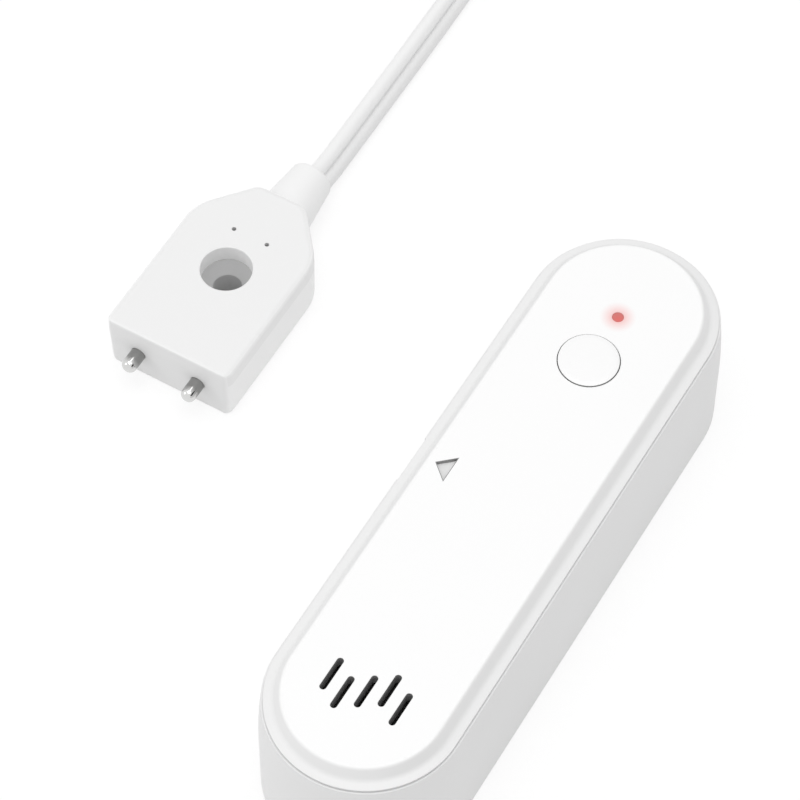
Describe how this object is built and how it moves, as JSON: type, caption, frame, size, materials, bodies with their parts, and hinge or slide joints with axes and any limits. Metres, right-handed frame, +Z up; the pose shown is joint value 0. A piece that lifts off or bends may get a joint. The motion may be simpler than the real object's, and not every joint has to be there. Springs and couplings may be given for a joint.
{
  "type": "water leak sensor",
  "caption": "Pill-shaped water leak alarm with press button, status light and sounder slots, and a wired floor probe with metal contact pins on a flat lead.",
  "frame": {"origin": "centre of the alarm unit's underside, on the surface it lies on", "axes": "+Z up; +X along the unit from the sounder end to the button end; +Y towards the probe"},
  "size_m": [0.196, 0.1324, 0.0236],
  "materials": {
    "shell_white": "moulded, fine satin",
    "cover_white": "moulded, fine satin",
    "button_white": "moulded, semi-gloss",
    "probe_white": "moulded, satin",
    "lead_white": "extruded soft PVC",
    "pad_foam": "adhesive foam",
    "seal_rubber": "matte",
    "light_red": "clear red, lit",
    "mesh_black": "fine acoustic mesh",
    "foam_black": "open-cell foam",
    "sounder_black": "moulded",
    "sounder_brass": "rolled sheet",
    "cell_label": "shrink film",
    "contact_metal": "nickel plated",
    "board_green": "solder mask",
    "chip_black": "moulded epoxy",
    "shield_tin": "tin plated",
    "switch_grey": "moulded",
    "plunger_black": "moulded",
    "led_clear": "clear epoxy",
    "socket_black": "moulded",
    "pin_nickel": "nickel plated, polished",
    "tie_grey": "woven strap"
  },
  "bodies": {
    "unit_base": {"lower_housing": "shell_white", "mounting_pad": "pad_foam", "cover_seal": "seal_rubber", "sounder_foam": "foam_black", "sounder_case": "sounder_black", "sounder_disc": "sounder_brass", "battery_cell_left": "cell_label", "battery_cell_right": "cell_label", "contact_springs": "contact_metal", "contact_plates": "contact_metal", "main_board": "board_green", "board_screws": "contact_metal", "board_chips": "chip_black", "radio_shield": "shield_tin", "switch_body": "switch_grey", "status_led": "led_clear", "jack_socket": "socket_black", "jack_contact": "sounder_brass", "probe_body": "probe_white", "probe_pin_left": "pin_nickel", "probe_pin_right": "pin_nickel", "strain_relief": "lead_white", "lead": "lead_white", "lead_coil": "lead_white", "coil_tie": "tie_grey", "plug_grip": "lead_white", "plug_sleeve": "pin_nickel", "plug_insulator": "socket_black", "plug_tip": "pin_nickel"},
    "cover": {"top_cover": "cover_white", "light_pipe": "light_red", "grille_mesh": "mesh_black"},
    "button": {"button_cap": "button_white"},
    "plunger": {"switch_plunger": "plunger_black"}
  },
  "joints": [
    {"name": "cover_lift", "type": "slide", "parent": "unit_base", "child": "cover", "axis": [0, 0, 1], "range_m": [0, 0.03]},
    {"name": "button_press", "type": "slide", "parent": "cover", "child": "button", "axis": [0, 0, -1], "range_m": [0, 0.0004], "stiffness_N_per_m": 400, "springref_m": -0.001},
    {"name": "plunger_press", "type": "slide", "parent": "unit_base", "child": "plunger", "axis": [0, 0, -1], "range_m": [0, 0.0004], "stiffness_N_per_m": 20, "springref_m": -0.0005}
  ],
  "couplings": [
    {"joint": "plunger_press", "follows": "button_press", "ratio": 1}
  ]
}
